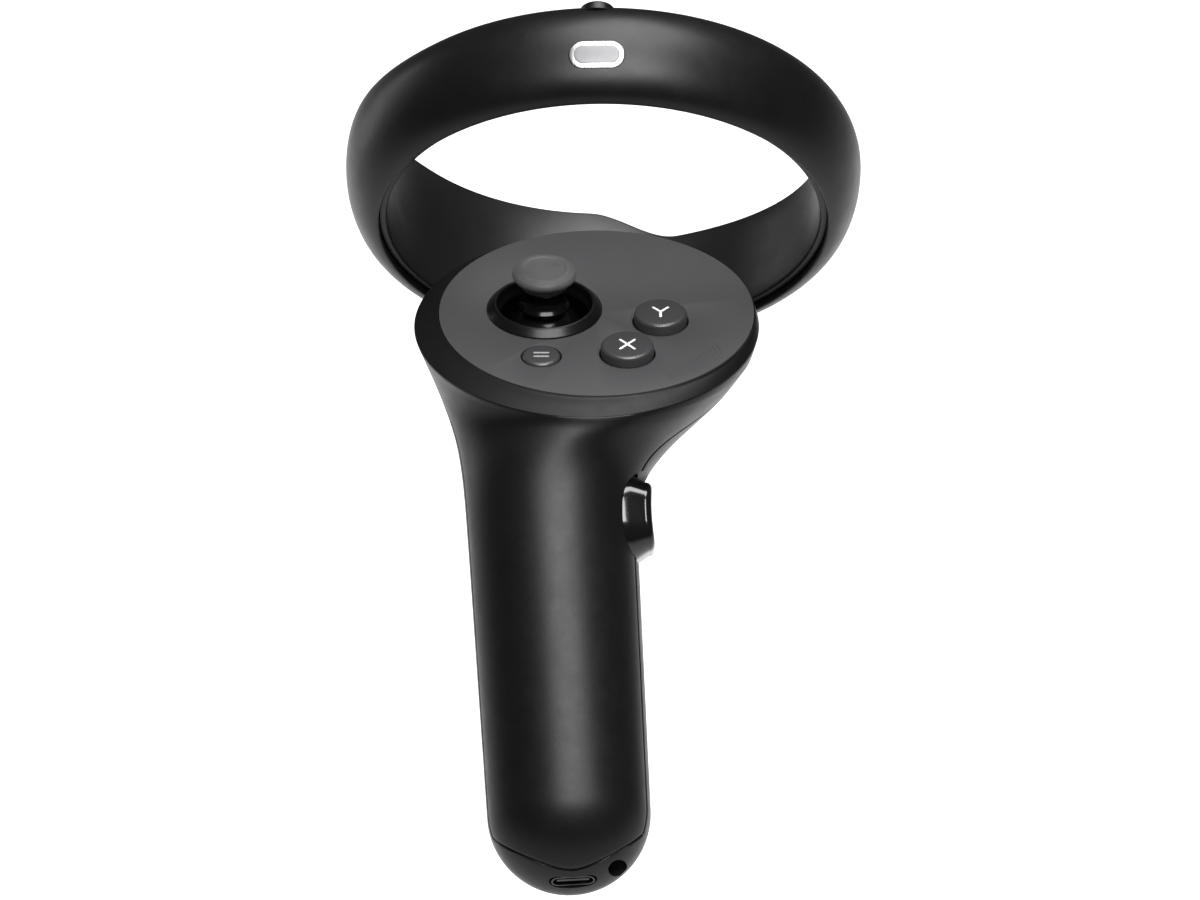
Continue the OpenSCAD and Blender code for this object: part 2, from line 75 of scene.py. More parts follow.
# centre x, y, z, tilt, lean, half width, front depth, rear depth, squareness of the rear
STATIONS = np.array([
    [-2.05, -1.7, -2.2, 0, 0, 35.4, 35.2, 35.2, 2],
    [-1.9, -1.65, -9.55, 10, 0, 33.2, 36.5, 40, 2.4],
    [-2.75, -6.45, -16.05, 20, 0, 29.15, 34, 44, 2.8],
    [-5.35, -17, -19, 30, -1, 23.55, 26, 40, 2.6],
    [-7.9, -25, -21.5, 38, -2.5, 19.8, 21, 28, 2.2],
    [-9.1, -31.5, -24.5, 44, -3.3, 17.9, 18, 20, 2],
    [-9.15, -36, -28, 45, -3.3, 17.45, 17.35, 17.45, 2]])
LAST = len(STATIONS) - 1
TOP_STEP = 0.12
HANDLE_TOP = STATIONS[LAST][:3]
HANDLE_UP = np.array([math.sin(HANDLE_LEAN), math.cos(HANDLE_LEAN) * math.sin(HANDLE_TILT),
                      math.cos(HANDLE_LEAN) * math.cos(HANDLE_TILT)])
PART_LEFT, PART_RIGHT = 190.0 - 360.0, -10.0
RING_CENTRE = Vector((1.4, 11.5, 14.3))
RING_NEAR, RING_OUTER, RING_INNER = 46.1, 52.9, 44.4
RING_FAR = 47.0
RING_WIDTH, RING_EXTRA, CROWN = 22.0, 9.2, 13.5
STICK = Vector((-10.7, 1.3, 0))
PIVOT_DEPTH = 8.0
X_PLACE, Y_PLACE, MENU_PLACE = Vector((6.3, -16.1, 0)), Vector((13.1, -3.5, 0)), Vector((-11.3, -17.1, 0))

TO_HANDLE = (Matrix.Translation(Vector(HANDLE_TOP)) @ Matrix.Rotation(-HANDLE_TILT, 4, "X")
             @ Matrix.Rotation(HANDLE_LEAN, 4, "Y"))
TO_END = TO_HANDLE @ Matrix.Translation((0, 0, -HANDLE_LENGTH))
TO_RING = (Matrix.Translation(RING_CENTRE) @ Matrix.Rotation(math.radians(27 - 90), 4, "X")
           @ Matrix.Rotation(math.radians(178.5), 4, "Z"))
SCALE = Matrix.Diagonal((MM, MM, MM, 1))


# ---------------------------------------------------------------------------
# Materials: every one is a small node network.
# ---------------------------------------------------------------------------
class Net:
    """A short way to write a material's nodes."""

    def __init__(self, name):
        self.mat = bpy.data.materials.new(name)
        self.mat.use_nodes = True
        self.nodes, self.links = self.mat.node_tree.nodes, self.mat.node_tree.links
        self.bsdf = self.nodes["Principled BSDF"]
        self.coords = self.add("ShaderNodeTexCoord").outputs["Object"]

    def add(self, kind, inputs=None, **settings):
        node = self.nodes.new(kind)
        for key, value in settings.items():
            setattr(node, key, value)
        for key, value in (inputs or {}).items():
            if isinstance(value, bpy.types.NodeSocket):
                self.links.new(value, node.inputs[key])
            else:
                node.inputs[key].default_value = value
        return node

    def noise(self, scale, detail=4.0, rough=0.6, coords=None):
        return self.add("ShaderNodeTexNoise", {
            "Vector": coords or self.coords, "Scale": scale, "Detail": detail,
            "Roughness": rough}).outputs["Fac"]

    def ramp(self, fac, low, high, start=0.3, end=0.7):
        node = self.add("ShaderNodeMapRange", {
            "Value": fac, "From Min": start, "From Max": end, "To Min": low, "To Max": high})
        return node.outputs["Result"]

    def colours(self, fac, stops):
        node = self.add("ShaderNodeValToRGB", {"Fac": fac})
        ramp = node.color_ramp
        while len(ramp.elements) < len(stops):
            ramp.elements.new(0.5)
        for element, (place, colour) in zip(ramp.elements, stops):
            element.position = place
            element.color = (*colour, 1)
        return node.outputs["Color"]

    def bump(self, height, strength, distance, normal=None):
        inputs = {"Height": height, "Strength": strength, "Distance": distance}
        if normal is not None:
            inputs["Normal"] = normal
        return self.add("ShaderNodeBump", inputs).outputs["Normal"]

    def set(self, **sockets):
        for key, value in sockets.items():
            name = key.replace("_", " ")
            if isinstance(value, bpy.types.NodeSocket):
                self.links.new(value, self.bsdf.inputs[name])
            else:
                self.bsdf.inputs[name].default_value = value
        return self.mat


def shade(colour, factor):
    return tuple(min(1.0, c * factor) for c in colour)


def moulded(name, colour, rough, grain=0.00035, depth=0.00002, coat=0.0, spread=0.16, bump=0.5, spec=0.5):
    """Moulded plastic with a spark-eroded grain, faint flow tone and handling wear."""
    net = Net(name)
    fine = net.noise(1 / grain, 3, 0.7)
    pits = net.add("ShaderNodeTexVoronoi", {"Vector": net.coords, "Scale": 0.8 / grain}).outputs["Distance"]
    broad = net.noise(38, 3, 0.55)
    tone = net.add("ShaderNodeMix", {0: 0.3, 2: broad, 3: fine}, data_type="FLOAT").outputs[0]
    base = net.colours(tone, [(0.25, shade(colour, 1 - spread)), (0.5, colour), (0.8, shade(colour, 1 + spread))])
    wear = net.noise(160, 5, 0.75)
    gloss = net.ramp(wear, rough * 1.08, rough * 0.88)
    height = net.add("ShaderNodeMix", {0: 0.45, 2: fine, 3: pits}, data_type="FLOAT").outputs[0]
    normal = net.bump(height, bump, depth)
    return net.set(Base_Color=base, Roughness=gloss, Normal=normal, Coat_Weight=coat,
                   Coat_Roughness=0.12, Specular_IOR_Level=spec)


def polished(name, colour, rough, coat=0.35, spec=0.5):
    """Glossy moulded plastic: faint orange peel, micro scratches and dust specks."""
    net = Net(name)
    peel = net.noise(420, 2, 0.4)
    scratch_space = net.add("ShaderNodeMapping", {"Vector": net.coords, "Scale": (1, 16, 5)}).outputs["Vector"]
    scratch = net.noise(900, 4, 0.7, scratch_space)
    dust = net.noise(2600, 2, 0.8)
    base = net.colours(dust, [(0.45, colour), (0.72, shade(colour, 1.25)), (0.82, shade(colour, 2.2))])
    gloss = net.ramp(scratch, rough * 0.8, rough * 1.5)
    return net.set(Base_Color=base, Roughness=gloss, Coat_Weight=coat, Coat_Roughness=0.06, Specular_IOR_Level=spec,
                   Normal=net.bump(peel, 0.12, 0.00004))


def rubber(name, colour, rough):
    """Soft-touch rubber with a dry, velvety bloom and fine pores."""
    net = Net(name)
    pores = net.noise(3200, 4, 0.8)
    bloom = net.noise(150, 4, 0.6)
    base = net.colours(bloom, [(0.3, shade(colour, 0.82)), (0.7, shade(colour, 1.22))])
    return net.set(Base_Color=base, Roughness=net.ramp(bloom, rough * 0.92, rough * 1.08),
                   Sheen_Weight=0.06, Sheen_Roughness=0.45, Specular_IOR_Level=0.35, Normal=net.bump(pores, 0.35, 0.00003))


def metal(name, colour, rough, along=(1, 22, 22), scale=260):
    """Brushed or drawn metal: streaks in one direction and a little tarnish."""
    net = Net(name)
    space = net.add("ShaderNodeMapping", {"Vector": net.coords, "Scale": along}).outputs["Vector"]
    streak = net.noise(scale, 5, 0.7, space)
    tarnish = net.noise(120, 3, 0.5)
    base = net.colours(tarnish, [(0.25, shade(colour, 0.8)), (0.7, shade(colour, 1.08))])
    return net.set(Base_Color=base, Metallic=1.0, Roughness=net.ramp(streak, rough * 0.75, rough * 1.3),
                   Normal=net.bump(streak, 0.18, 0.00003))


def circuit(name, colour):
    """Solder mask with buried copper tracks showing as slightly lighter lines."""
    net = Net(name)
    tracks = net.add("ShaderNodeTexBrick", {
        "Vector": net.coords, "Scale": 320.0, "Mortar Size": 0.03, "Color1": (*colour, 1),
        "Color2": (*shade(colour, 0.8), 1), "Mortar": (*shade(colour, 2.1), 1)}).outputs["Color"]
    weave = net.noise(1500, 3, 0.6)
    return net.set(Base_Color=tracks, Roughness=net.ramp(weave, 0.32, 0.48),
                   Normal=net.bump(weave, 0.25, 0.00004))


def ink(name, colour):
    """Printed legend: nearly even white with a slightly broken edge tone."""
    net = Net(name)
    speck = net.noise(2400, 3, 0.6)
    base = net.colours(speck, [(0.3, shade(colour, 0.86)), (0.65, colour)])
    return net.set(Base_Color=base, Roughness=net.ramp(speck, 0.42, 0.58), Normal=net.bump(speck, 0.1, 0.00002))


MATERIALS = {
    "body_plastic": moulded("body_plastic", (0.0026, 0.0026, 0.0028), 0.43, spec=0.3),
    "plate_plastic": moulded("plate_plastic", (0.043, 0.043, 0.0447), 0.5, grain=0.00028, depth=0.000012, spread=0.08,
                             spec=0.3),
    "bezel_plastic": moulded("bezel_plastic", (0.004, 0.004, 0.0043), 0.46, grain=0.0003, depth=0.000012, spec=0.17),
    "ring_plastic": moulded("ring_plastic", (0.0024, 0.0024, 0.0026), 0.40, grain=0.0004, depth=0.000016, spec=0.3),
    "ring_inside": moulded("ring_inside", (0.0055, 0.0055, 0.0059), 0.42, grain=0.00035, depth=0.000018, spec=0.3),
    "stick_rubber": rubber("stick_rubber", (0.062, 0.062, 0.064), 0.55),
    "gloss_black": polished("gloss_black", (0.003, 0.003, 0.0033), 0.12),
    "deep_black": polished("deep_black", (0.002, 0.002, 0.0022), 0.16, 0.06, 0.25),
    "collar_black": moulded("collar_black", (0.004, 0.004, 0.0044), 0.3, grain=0.0003, depth=0.000005, spec=0.25),
    "button_plastic": moulded("button_plastic", (0.032, 0.032, 0.0335), 0.33, grain=0.00022, depth=0.000006, coat=0.15, spread=0.06),
    "legend": ink("legend", (0.78, 0.78, 0.78)),
    "legend_dim": ink("legend_dim", (0.27, 0.27, 0.27)),
    # a darkened copy of the steel: painted shade for the USB socket sitting in its recess
    "steel_painted_shade": metal("steel_painted_shade", (0.09, 0.09, 0.095), 0.34),
    "badge": metal("badge", (0.34, 0.34, 0.35), 0.3, along=(22, 1, 1)),
    "badge_inlay": moulded("badge_inlay", (0.16, 0.16, 0.165), 0.35, grain=0.00025, depth=0.000008),
    "steel": metal("steel", (0.55, 0.55, 0.56), 0.28),
    "board": circuit("board", (0.012, 0.085, 0.045)),
    "membrane": rubber("membrane", (0.42, 0.42, 0.40), 0.6),
    "frame_plastic": moulded("frame_plastic", (0.075, 0.075, 0.08), 0.5),
    "cell_wrap": polished("cell_wrap", (0.03, 0.09, 0.24), 0.25),
    "clear_lens": polished("clear_lens", (0.5, 0.5, 0.54), 0.1),
}


# ---------------------------------------------------------------------------
# Mesh helpers. Shapes are made in millimetres and scaled to metres at the end.
# ---------------------------------------------------------------------------
def finish_mesh(name, verts, faces, matrix=Matrix.Identity(4), sharp=40):
    mesh = bpy.data.meshes.new(name)
    mesh.from_pydata([tuple(v) for v in verts], [], [tuple(int(i) for i in f) for f in faces])
    mesh.validate()
    bm = bmesh.new()
    bm.from_mesh(mesh)
    bmesh.ops.remove_doubles(bm, verts=bm.verts, dist=1e-5)
    bmesh.ops.recalc_face_normals(bm, faces=bm.faces)
    bm.to_mesh(mesh)
    bm.free()
    mesh.transform(SCALE @ matrix)
    smooth(mesh, sharp)
    obj = bpy.data.objects.new(name, mesh)
    bpy.context.scene.collection.objects.link(obj)
    return obj


def smooth(mesh, sharp=40):
    mesh.polygons.foreach_set("use_smooth", [True] * len(mesh.polygons))
    mesh.set_sharp_from_angle(angle=math.radians(sharp))


def apply_modifiers(obj, sharp=40):
    graph = bpy.context.evaluated_depsgraph_get()
    mesh = bpy.data.meshes.new_from_object(obj.evaluated_get(graph))
    obj.modifiers.clear()
    obj.data = mesh
    smooth(mesh, sharp)
    return obj


def cut(obj, cutters, sharp=40, how="DIFFERENCE"):
    """Takes the cutters out of obj, or keeps what lies in them, and throws them away."""
    for cutter in cutters:
        mod = obj.modifiers.new("cut", "BOOLEAN")
        mod.operation, mod.solver, mod.object = how, "EXACT", cutter
    apply_modifiers(obj, sharp)
    for cutter in cutters:
        bpy.data.objects.remove(cutter)
    return obj


def bevel(obj, width, segments=3, angle=35, sharp=40):
    mod = obj.modifiers.new("bevel", "BEVEL")
    mod.width, mod.segments, mod.limit_method = width * MM, segments, "ANGLE"
    mod.angle_limit = math.radians(angle)
    mod.harden_normals = False
    return apply_modifiers(obj, sharp)


def place(obj, material, body, *nodes, slot=None):
    obj.data.materials.clear()
    obj.data.materials.append(MATERIALS[material])
    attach(obj, body)
    if nodes:
        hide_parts(*nodes)
    return obj


def rounded(points, radius=0.3, steps=5, closed=False):
    """A polyline with its corners rounded; a point may carry its own radius as a third number."""
    out = []
    count = len(points)
    for i, p in enumerate(points):
        here = np.array(p[:2], float)
        r = p[2] if len(p) > 2 else radius
        if (not closed and i in (0, count - 1)) or r <= 0:
            out.append(here)
            continue
        before = np.array(points[i - 1][:2], float)
        after = np.array(points[(i + 1) % count][:2], float)
        a, b = before - here, after - here
        la, lb = np.linalg.norm(a), np.linalg.norm(b)
        reach = min(r, la * 0.45, lb * 0.45)
        start, end = here + a / la * reach, here + b / lb * reach
        for s in range(steps + 1):
            t = s / steps
            out.append((1 - t) ** 2 * start + 2 * t * (1 - t) * here + t * t * end)
    return np.array(out)


def lathe(name, profile, matrix=Matrix.Identity(4), around=144, radius=0.3, closed=True, sharp=50):
    """Turns an outline of (radius, height) about the z axis."""
    line = rounded(profile, radius, closed=closed)
    verts, faces = [], []
    for i in range(around):
        c, s = math.cos(2 * math.pi * i / around), math.sin(2 * math.pi * i / around)
        verts += [(max(r, 0) * c, max(r, 0) * s, z) for r, z in line]
    n = len(line)
    for i in range(around):
        a, b = i * n, ((i + 1) % around) * n
        for j in range(n if closed else n - 1):
            k = (j + 1) % n
            faces.append((a + j, b + j, b + k, a + k))
    return finish_mesh(name, verts, faces, matrix, sharp)


def disc_profile(*points):
    """An outline that closes on the axis at both ends."""
    return [(0, points[0][1], 0), *points, (0, points[-1][1], 0)]


def prism(name, outline, low, high, matrix, radius=0.5, sharp=35, steps=6):
    """An outline with rounded corners pushed through from low to high along z."""
    line = rounded(outline, radius, steps, closed=True)
    n = len(line)
    verts = [(x, y, low) for x, y in line] + [(x, y, high) for x, y in line]
    faces = [(j, (j + 1) % n, n + (j + 1) % n, n + j) for j in range(n)]
    faces += [tuple(range(n)), tuple(range(2 * n - 1, n - 1, -1))]
    return finish_mesh(name, verts, faces, matrix, sharp)


# ---------------------------------------------------------------------------
# The body: one smooth surface from the rim down to the round end of the handle.
# ---------------------------------------------------------------------------
def curve(step):
    i = min(int(step), LAST - 1)
    f = step - i
    a, b, c, d = (STATIONS[k] for k in (max(i - 1, 0), i, i + 1, min(i + 2, LAST)))
    return 0.5 * (2 * b + (c - a) * f + (2 * a - 5 * b + 4 * c - d) * f * f
                  + (3 * b - a - 3 * c + d) * f ** 3)


def section(row, angle, inset=0.0):
    """Points of one body section; angle in radians, and inset moves them in."""
    cx, cy, cz, tilt, lean, half, front, rear, square = row
    c, s = np.cos(angle), np.sin(angle)
    power = np.where(s > 0, 2 / square, 1.0)
    x = (half - inset) * np.sign(c) * np.abs(c) ** power
    y = (np.where(s > 0, rear, front) - inset) * np.sign(s) * np.abs(s) ** power
    tilt, lean = math.radians(tilt), math.radians(lean)
    xx, zz = x * math.cos(lean), -x * math.sin(lean)
    return np.stack([cx + xx, cy + y * math.cos(tilt) + zz * math.sin(tilt),
                     cz - y * math.sin(tilt) + zz * math.cos(tilt)], -1)


def handle_ring(s, angle, inset=0.0):
    """Points round the handle at distances s below its top, one per angle."""
    end = END_RADIUS - np.where(s > HANDLE_LENGTH, inset, 0)
    straight = 17.4 + (END_RADIUS - 17.4) * s / HANDLE_LENGTH - inset
    dome = np.sqrt(np.maximum(0, end ** 2 - (s - HANDLE_LENGTH) ** 2))
    r = np.where(s <= HANDLE_LENGTH, straight, dome)
    x, y = r * np.cos(angle), r * np.sin(angle)
    ex = np.array(TO_HANDLE.to_3x3() @ Vector((1, 0, 0)))
    ey = np.array(TO_HANDLE.to_3x3() @ Vector((0, 1, 0)))
    return HANDLE_TOP - s[:, None] * HANDLE_UP + x[:, None] * ex + y[:, None] * ey


HEAD_ROWS, END_ROWS = 56, 30


def ease(v):
    u = np.clip(v, 0, 1)
    return u * u * (3 - 2 * u)


def part_right(t):
    """Angle of the parting line on the right side, by step down the body."""
    return (-2 - 8 * min(1, t) - 8 * ease((t - 1) / 2)
            - 9 * ease((t - 0.8) / 1.2) * (1 - ease((t - 2.8) / 2.4)))


def row_angles(t):
    """The columns' angles on one row: they bunch up or spread to follow the parting line."""
    return np.radians(np.interp(np.degrees(ANGLES), [PART_LEFT, PART_RIGHT, PART_LEFT + 360],
                                [PART_LEFT, part_right(t), PART_LEFT + 360]))


def seam(angle):
    return HANDLE_LENGTH + 3.3 + 10.4 * np.maximum(0, -np.sin(angle)) ** 1.1


def edge_steps(start, stop, count, fine=(0, 0.35, 0.8, 1.5)):
    """Even steps with a few close ones at both ends, in degrees."""
    middle = np.linspace(start + 2.4, stop - 2.4, count)
    return np.concatenate([start + np.array(fine), middle, stop - np.array(fine[::-1])])


FRONT_ANGLES = edge_steps(PART_LEFT, PART_RIGHT, 84)
REAR_ANGLES = edge_steps(PART_RIGHT, PART_LEFT + 360, 84)[1:-1]
ANGLES = np.radians(np.concatenate([FRONT_ANGLES, REAR_ANGLES]))
FRONT_COLS = len(FRONT_ANGLES) - 1
FINE_ROWS = [0, 0.012, 0.028, 0.05]


def row_places():
    head = np.concatenate([FINE_ROWS, np.linspace(0.1, 1, HEAD_ROWS)])
    grip = np.concatenate([np.linspace(0, 0.8, 18)[1:], np.linspace(0.82, 0.985, 13), [0.991, 0.995, 0.998, 1]])
    end = np.concatenate([[0.006, 0.014, 0.03], np.linspace(0.05, 0.9995, END_ROWS)])
    return ([("head", f) for f in head] + [("grip", f) for f in grip] + [("end", f) for f in end])


def body_grid(extra):
    """The body's rows of points, with extra(row, column) of inset on each."""
    rows = []
    low = row_angles(LAST)
    cut_s = seam(low)
    for k, (part, f) in enumerate(row_places()):
        if part == "head":
            inset = extra(k)
            step = TOP_STEP + (LAST - TOP_STEP) * f
            row = section(curve(step), row_angles(LAST * f), inset)
        elif part == "grip":
            row = handle_ring(cut_s * f, low, extra(k))
        else:
            bottom = HANDLE_LENGTH + END_RADIUS
            s = cut_s + (bottom - cut_s) * math.sin(f * math.pi / 2)
            row = handle_ring(np.minimum(s, bottom - extra(k) - 0.01), low, extra(k))
        rows.append(row)
    rows = np.array(rows)
    first, stop = len(FINE_ROWS) + 1, len(FINE_ROWS) + HEAD_ROWS + 2
    for _ in range(60):
        rows[first:stop] = (rows[first:stop] * 2 + rows[first - 1:stop - 1] + rows[first + 1:stop + 1]) / 4
    return rows


ROWS = row_places()
SEAM_ROW = len([r for r in ROWS if r[0] != "end"]) - 1
TURN = len(ANGLES)


def groove(gap):
    """How far a shell's edge rolls in at a distance (mm) from the parting line."""
    return 0.34 * np.exp(-(np.asarray(gap) / 0.22) ** 2)


def body_shell(name, front):
    degrees = np.degrees(ANGLES)
    local = 17.0
    to_part = np.minimum(abs((degrees - PART_RIGHT + 180) % 360 - 180),
                         abs((degrees - PART_LEFT + 180) % 360 - 180)) * math.pi / 180 * local
    is_front_col = np.arange(TURN) <= FRONT_COLS

    def outside(k):
        part, f = ROWS[k]
        roll = np.zeros(TURN)
        if k <= SEAM_ROW:
            roll = np.maximum(roll, groove(to_part))
        if k < 8:
            roll = np.maximum(roll, groove(f * 42))
        if abs(k - SEAM_ROW) < 4:
            cut_s = seam(row_angles(LAST))
            distance = (1 - f) * cut_s if part == "grip" else (HANDLE_LENGTH + END_RADIUS - cut_s) * f * 1.6
            roll = np.maximum(roll, np.where(is_front_col, groove(distance), 0))
        return roll

    outer = body_grid(outside)
    inner = body_grid(lambda k: np.full(TURN, WALL))
    count = len(ROWS) * TURN
    verts = np.concatenate([outer.reshape(-1, 3), inner.reshape(-1, 3)])

    def on(k, j):
        j %= TURN
        return 0 <= k < len(ROWS) - 1 and ((k < SEAM_ROW and j < FRONT_COLS) == front)

    faces = []
    for k in range(len(ROWS) - 1):
        for j in range(TURN):
            if not on(k, j):
                continue
            a, b = k * TURN + j, k * TURN + (j + 1) % TURN
            d, c = a + TURN, b + TURN
            faces += [(a, b, c, d), (count + a, count + d, count + c, count + b)]
            if not on(k - 1, j):
                faces.append((b, a, count + a, count + b))
            if not on(k + 1, j) and k < len(ROWS) - 2:
                faces.append((d, c, count + c, count + d))
            if not on(k, j - 1):
                faces.append((a, d, count + d, count + a))
            if not on(k, j + 1):
                faces.append((c, b, count + b, count + c))
    if not front:
        end = (len(ROWS) - 1) * TURN
        faces += [tuple(end + j for j in range(TURN)), tuple(count + end + j for j in range(TURN))[::-1]]
    used = sorted({i for f in faces for i in f})
    index = {v: i for i, v in enumerate(used)}
    return finish_mesh(name, verts[used], [[index[i] for i in f] for f in faces], sharp=50)


def block(name, low, high, matrix, radius=0.6):
    """A cutter with rounded corners in its x-z outline."""
    outline = [(low[0], low[2]), (high[0], low[2]), (high[0], high[2]), (low[0], high[2])]
    turn = Matrix.Rotation(math.radians(90), 4, "X")
    return prism(name, outline, -high[1], -low[1], matrix @ turn, radius)


LEVER_HALF = 9.6
TRIGGER_HALF = 8.5
GRIP_Z = 5.8


SIDEWAYS = Matrix(((0, 0, 1, 0), (1, 0, 0, 0), (0, 1, 0, 0), (0, 0, 0, 1)))


def lever_outline(grow):
    """The grip lever's outline seen from its own side: y across the handle, z along it."""
    low, high, half = -9.9 - grow, 8.5 + grow, LEVER_HALF + grow
    corner = 11.0
    return rounded([(-half, low, corner), (half, low, corner), (half, high, corner), (-half, high, corner)],
                   steps=16, closed=True)


def lever_cutter():
    return prism("lever_cut", [(y, z, 0) for y, z in lever_outline(0.35)], 5, 30, TO_HANDLE @ SIDEWAYS, 0)


def stadium(width, height, grow=0.0, steps=12):
    r = height / 2 + grow
    reach = (width - height) / 2
    ends = [(reach + r * math.cos(a), r * math.sin(a)) for a in np.linspace(-math.pi / 2, math.pi / 2, steps)]
    return ends + [(-x, -y) for x, y in ends]


def rod(name, radius, low, high, matrix, around=64):
    return lathe(name, disc_profile((radius, low, 0), (radius, high, 0)), matrix, around)


def usb_cutter():
    return prism("usb_cut", stadium(8.94, 3.2, 0.45), -20, 0.1,
                 TO_END @ Matrix.Rotation(math.radians(-20), 4, "X"), 0)


def build_shells():
    front = body_shell("front_shell_skin", True)
    cut(front, [lever_cutter(), usb_cutter()], 50)
    place(front, "body_plastic", "body", "front_shell")

    rear = body_shell("rear_shell_skin", False)
    seat = lathe("ring_cut", [(44.1, -0.5), (46.6, -0.5), (50.4, 2), (52.7, 6), (53.8, 12), (53.8, 18), (53.4, 23),
                              (52, 28.5), (50, 32), (47.4, 33.6), (44.1, 33.6)], TO_RING, 180, 0)
    trigger_hole = block("trigger_cut", (-1 - TRIGGER_HALF - 0.6, 14, -46), (-1 + TRIGGER_HALF + 0.6, 34, -30),
                         Matrix.Identity(4), 0.8)
    slant = TO_END @ Matrix.Translation((9.2, 3.37, -10.26)) @ Matrix.Rotation(math.radians(-71.9), 4, "X")
    cut(rear, [seat, lever_cutter(), trigger_hole, usb_cutter(),
               rod("bore_cut", 1.5, -12, 12, slant),
               rod("mouth_cut_a", 1.95, 5, 17, slant),
               rod("mouth_cut_b", 1.95, -17, -5, slant)], 50)
    place(rear, "body_plastic", "body", "rear_shell")
    tunnel = lathe("lanyard_tunnel", [(1.5, -5, 0.1), (1.95, -5, 0.1), (1.95, -12, 0.1), (3.2, -12, 0.1), (3.2, 12, 0.1),
                                      (1.95, 12, 0.1), (1.95, 5, 0.1), (1.5, 5, 0.1)], slant, 64)
    ball = [(15.6 * math.sin(t), 15.6 * math.cos(t), 0) for t in np.radians(np.arange(3, 178, 3))]
    cut(tunnel, [lathe("ball_cut", disc_profile(*ball), TO_END, 120, 0)], 50, "INTERSECT")
    place(tunnel, "body_plastic", "body", slot="body_plastic")


def build_bezel():
    """The chamfered rim round the thumb plate, rolled over at its outer edge."""
    around = 240
    angles = np.arange(around) / around * 2 * math.pi
    inner_r = PLATE_RADIUS + 0.18
    rim = section(STATIONS[0], angles)
    base = section(curve(TOP_STEP), angles)
    inner_base = section(curve(TOP_STEP), angles, WALL)
    flat = lambda r, z: np.stack([r * np.cos(angles), r * np.sin(angles), np.full(around, z)], -1)
    start = flat(inner_r, -0.28)
    loops = [flat(inner_r, -2.1), flat(inner_r, -0.5), start + [0, 0, 0.04]]
    loops.append(start * [1.004, 1.004, 1] + [0, 0, 0.06])
    for f in np.linspace(0.08, 0.9, 9):
        swell = 0.16 * math.sin(math.pi * f)
        loops.append(start * (1 - f) + rim * f + [0, 0, swell])
    for f in (0.25, 0.5, 0.75):
        corner = start * 0.05 + rim * 0.95 + [0, 0, 0.03]
        down = rim * 0.75 + base * 0.25
        loops.append((1 - f) ** 2 * corner + 2 * f * (1 - f) * rim + f * f * down)
    loops += [rim * 0.3 + base * 0.7, base * 0.93 + section(curve(TOP_STEP), angles, 0.12) * 0.07,
              section(curve(TOP_STEP), angles, 0.3), inner_base, flat(30.6, -2.1)]
    points = np.array(loops)
    count = len(loops)
    faces = [(i * around + j, i * around + (j + 1) % around,
              ((i + 1) % count) * around + (j + 1) % around, ((i + 1) % count) * around + j)
             for i in range(count) for j in range(around)]
    place(finish_mesh("bezel_rim", points.reshape(-1, 3), faces, sharp=45), "bezel_plastic", "body", "head_bezel")


# ---------------------------------------------------------------------------
# The tracking ring.
# ---------------------------------------------------------------------------
def ring_width(a):
    """Depth of the ring at an angle in degrees, counted from the right side."""
    return (RING_WIDTH + RING_EXTRA * ease((a - 130) / 90) * (1 - ease((a - 265) / 23))
            + 2.2 * ease((a - 265) / 23) * (1 - ease((a - 290) / 60)))


def ring_outer_line(a):
    w = ring_width(a)
    near = [(RING_NEAR + (RING_OUTER - RING_NEAR) * math.sin(t), CROWN - CROWN * math.cos(t))
            for t in np.linspace(0.10, math.pi / 2, 20)]
    far = [(RING_FAR + (RING_OUTER - RING_FAR) * math.cos(t), CROWN + (w - CROWN) * math.sin(t))
           for t in np.linspace(0, math.pi / 2 - 0.12, 18)][1:]
    lip = [(46.75, w - 0.06), (46.4, w - 0.2), (46.25, w - 0.5), (46.2, w - 1.6)]
    inside = [(48.6, CROWN + (w - CROWN) * 0.8), (51.2, CROWN + 2), (51, CROWN - 3), (48.9, 4.2),
              (46.6, 2.4), (46.05, 1.5)]
    roll = [(45.98, 0.7), (46.02, 0.3), (46.2, 0.06), (46.45, 0.0)]
    return near + far + lip + inside + roll


def ring_inner_line(a):
    w, r = ring_width(a), RING_INNER
    return [(r + 1.4, 1.5), (r + 0.62, 1.42), (r + 0.3, 1.46), (r + 0.08, 1.72), (r, 2.2), (r + 0.02, 5), (r + 0.12, 8),
            (r + 0.28, 11), (r + 0.5, 14), (r + 0.85, 14 + (w - 14.8) * 0.55), (r + 1.2, w - 0.8),
            (r + 1.32, w - 0.52), (r + 1.5, w - 0.4), (r + 1.65, w - 0.6), (r + 1.7, w - 1.2),
            (r + 1.7, 14), (r + 1.4, 8)]


def ring_loop(name, line, around=360):
    points = []
    for i in range(around):
        degrees = i * 360 / around
        a = math.radians(degrees)
        points += [(-r * math.cos(a), r * math.sin(a), w) for r, w in line(degrees)]
    n = len(line(0))
    faces = [(i * n + j, ((i + 1) % around) * n + j, ((i + 1) % around) * n + (j + 1) % n, i * n + (j + 1) % n)
             for i in range(around) for j in range(n)]
    return finish_mesh(name, points, faces, TO_RING, 60)


def on_crown(across, back, lift=0.0):
    """A point on the ring's outside near its top: across and back are millimetres along it."""
    t = math.acos(max(-1.0, min(1.0, 1 - back / CROWN))) if back < CROWN else math.pi / 2
    r = RING_NEAR + (RING_OUTER - RING_NEAR) * math.sin(t) + lift
    a = across / r
    return (r * math.sin(a), r * math.cos(a), back)


def pill(half_length, half_width, count=96):
    """Unit outline of a pill: points round it, in millimetres."""
    out = []
    for i in range(count):
        a = 2 * math.pi * i / count
        x, y = math.cos(a), math.sin(a)
        out.append((half_width * x + math.copysign(half_length - half_width, x), half_width * y))
    return out


